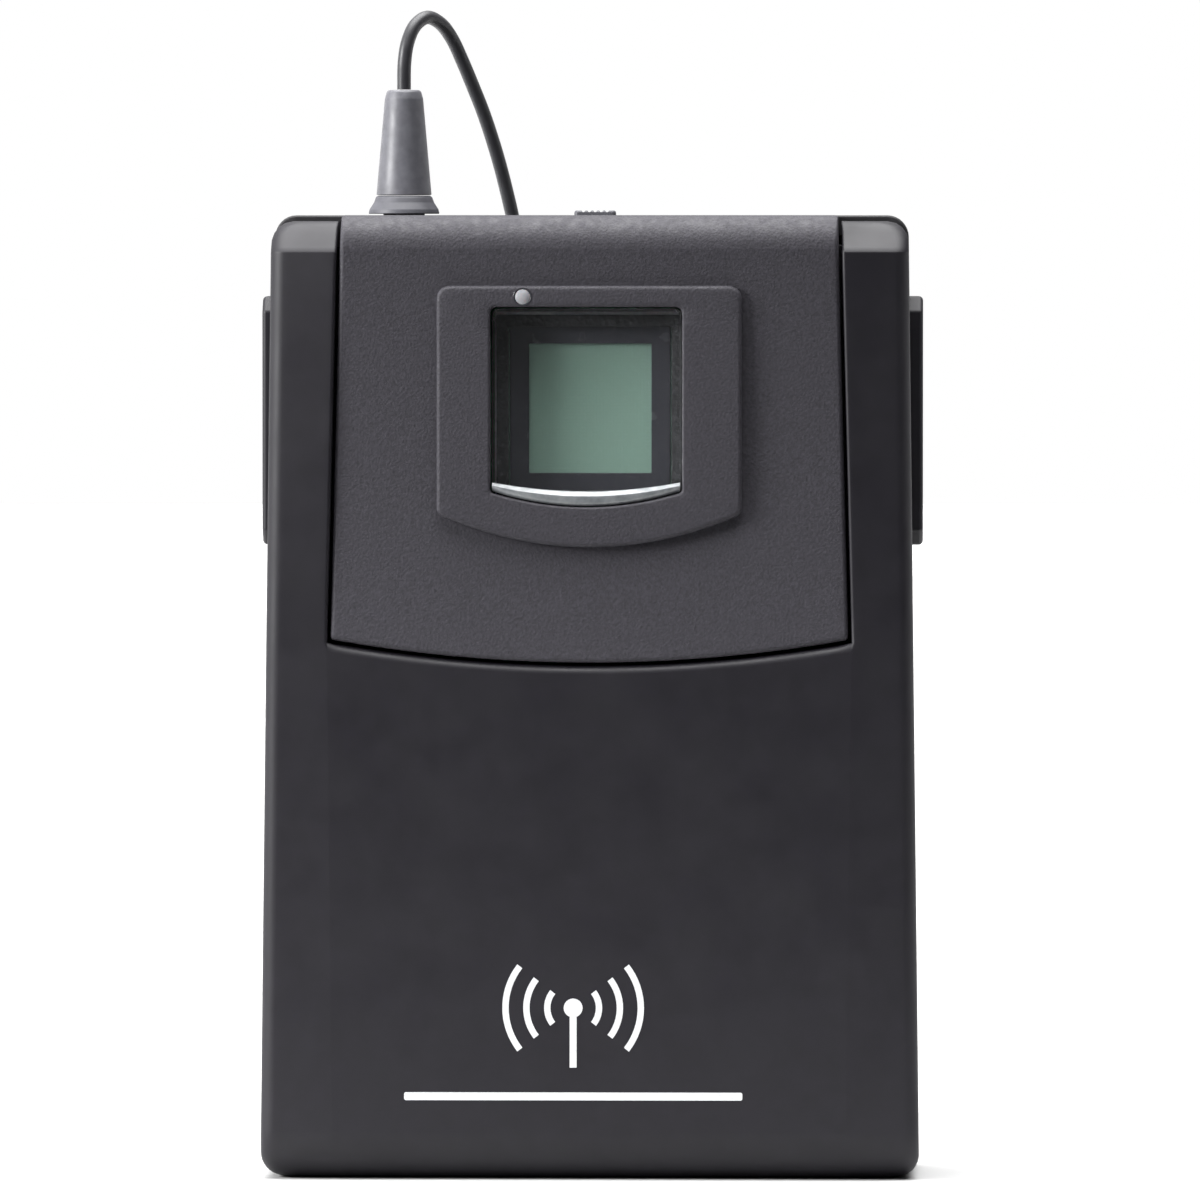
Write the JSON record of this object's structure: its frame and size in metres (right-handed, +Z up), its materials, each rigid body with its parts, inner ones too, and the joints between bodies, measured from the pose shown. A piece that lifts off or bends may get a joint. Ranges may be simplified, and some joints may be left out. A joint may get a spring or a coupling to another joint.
{
  "type": "wireless bodypack transmitter",
  "caption": "Belt-worn radio transmitter for a microphone, with a swing-down battery door, a small display and a flexible wire aerial.",
  "frame": {"origin": "centre of the face that the pack stands on", "axes": "+Z up to the aerial, +Y to the belt clip at the back, +X to the right seen from the front"},
  "size_m": [0.067, 0.0325, 0.1176],
  "materials": {
    "textured_case": "fine textured moulded ABS",
    "satin_case": "satin moulded ABS",
    "inner_plastic": "matte moulded black plastic",
    "white_plastic": "diffusing white plastic",
    "key_plastic": "grey moulded keys",
    "circuit_board": "solder mask over glass laminate",
    "clear_lens": "polished clear acrylic",
    "lcd": "blank grey-green liquid crystal",
    "foam": "closed-cell foam",
    "cord_rubber": "satin soft elastomer",
    "spring_steel": "plain steel wire",
    "screw_steel": "black oxide",
    "nickel": "nickel plate",
    "gold_pin": "thin gold plate",
    "cell_sleeve": "printed sleeve over a can"
  },
  "bodies": {
    "case": {"rear_shell": "satin_case", "front_panel": "textured_case", "battery_tray": "inner_plastic", "battery_cell_1": "cell_sleeve", "battery_cell_2": "cell_sleeve", "battery_spring_1": "spring_steel", "battery_spring_2": "spring_steel", "contact_plate_negative": "nickel", "contact_plate_positive": "nickel", "contact_bridge": "nickel", "display_window": "clear_lens", "display_gasket": "foam", "display_mask": "inner_plastic", "lcd_glass": "lcd", "lcd_backlight": "white_plastic", "lcd_holder": "white_plastic", "led_lens": "white_plastic", "display_board": "circuit_board", "board_connector": "inner_plastic", "main_board": "circuit_board", "shield_can": "nickel", "switch_body": "inner_plastic", "control_board": "circuit_board", "gain_switch_body": "nickel", "mic_socket_shell": "nickel", "mic_socket_insert": "inner_plastic", "antenna_ferrule": "inner_plastic", "antenna_nut": "nickel", "antenna_boot": "cord_rubber", "antenna_wire": "cord_rubber", "antenna_tip": "cord_rubber", "catch_spring_left": "spring_steel", "catch_spring_right": "spring_steel", "hinge_pin_left": "spring_steel", "hinge_pin_right": "spring_steel", "clip_bracket": "inner_plastic", "clip_pin": "spring_steel", "clip_spring": "spring_steel", "mic_socket_pin_1": "gold_pin", "case_screw_1": "screw_steel", "mic_socket_pin_2": "gold_pin", "case_screw_2": "screw_steel", "mic_socket_pin_3": "gold_pin", "case_screw_3": "screw_steel", "mic_socket_pin_4": "gold_pin", "case_screw_4": "screw_steel", "clip_screw_1": "screw_steel", "clip_screw_2": "screw_steel"},
    "door": {"battery_door": "satin_case", "battery_pad": "foam"},
    "catch_left": {"catch_left": "inner_plastic"},
    "catch_right": {"catch_right": "inner_plastic"},
    "power_switch": {"switch_knob": "inner_plastic"},
    "set_key": {"key_set": "key_plastic"},
    "up_key": {"key_up": "key_plastic"},
    "down_key": {"key_down": "key_plastic"},
    "gain_switch": {"gain_switch_knob": "inner_plastic"},
    "belt_clip": {"clip_blade": "inner_plastic"}
  },
  "joints": [
    {"name": "door_hinge", "type": "hinge", "parent": "case", "child": "door", "pos_m": [0, -0.007, 0.005], "axis": [1, 0, 0], "range_deg": [0, 110]},
    {"name": "catch_left_press", "type": "slide", "parent": "case", "child": "catch_left", "axis": [1, 0, 0], "range_m": [0, 0.001], "stiffness_N_per_m": 400, "springref_m": -0.002, "deforming": ["catch_spring_left"]},
    {"name": "catch_right_press", "type": "slide", "parent": "case", "child": "catch_right", "axis": [-1, 0, 0], "range_m": [0, 0.001], "stiffness_N_per_m": 400, "springref_m": -0.002, "deforming": ["catch_spring_right"]},
    {"name": "power_switch_slide", "type": "slide", "parent": "case", "child": "power_switch", "axis": [1, 0, 0], "range_m": [0, 0.003]},
    {"name": "set_key_press", "type": "slide", "parent": "case", "child": "set_key", "axis": [0, 1, 0], "range_m": [0, 0.0005], "stiffness_N_per_m": 200, "springref_m": -0.001},
    {"name": "up_key_press", "type": "slide", "parent": "case", "child": "up_key", "axis": [0, 1, 0], "range_m": [0, 0.0005], "stiffness_N_per_m": 200, "springref_m": -0.001},
    {"name": "down_key_press", "type": "slide", "parent": "case", "child": "down_key", "axis": [0, 1, 0], "range_m": [0, 0.0005], "stiffness_N_per_m": 200, "springref_m": -0.001},
    {"name": "gain_switch_slide", "type": "slide", "parent": "case", "child": "gain_switch", "axis": [1, 0, 0], "range_m": [0, 0.002]},
    {"name": "clip_hinge", "type": "hinge", "parent": "case", "child": "belt_clip", "pos_m": [0, 0.0156, 0.048], "axis": [1, 0, 0], "range_deg": [0, 14], "stiffness_Nm_per_rad": 0.4, "springref_deg": -5.73, "deforming": ["clip_spring"]}
  ]
}
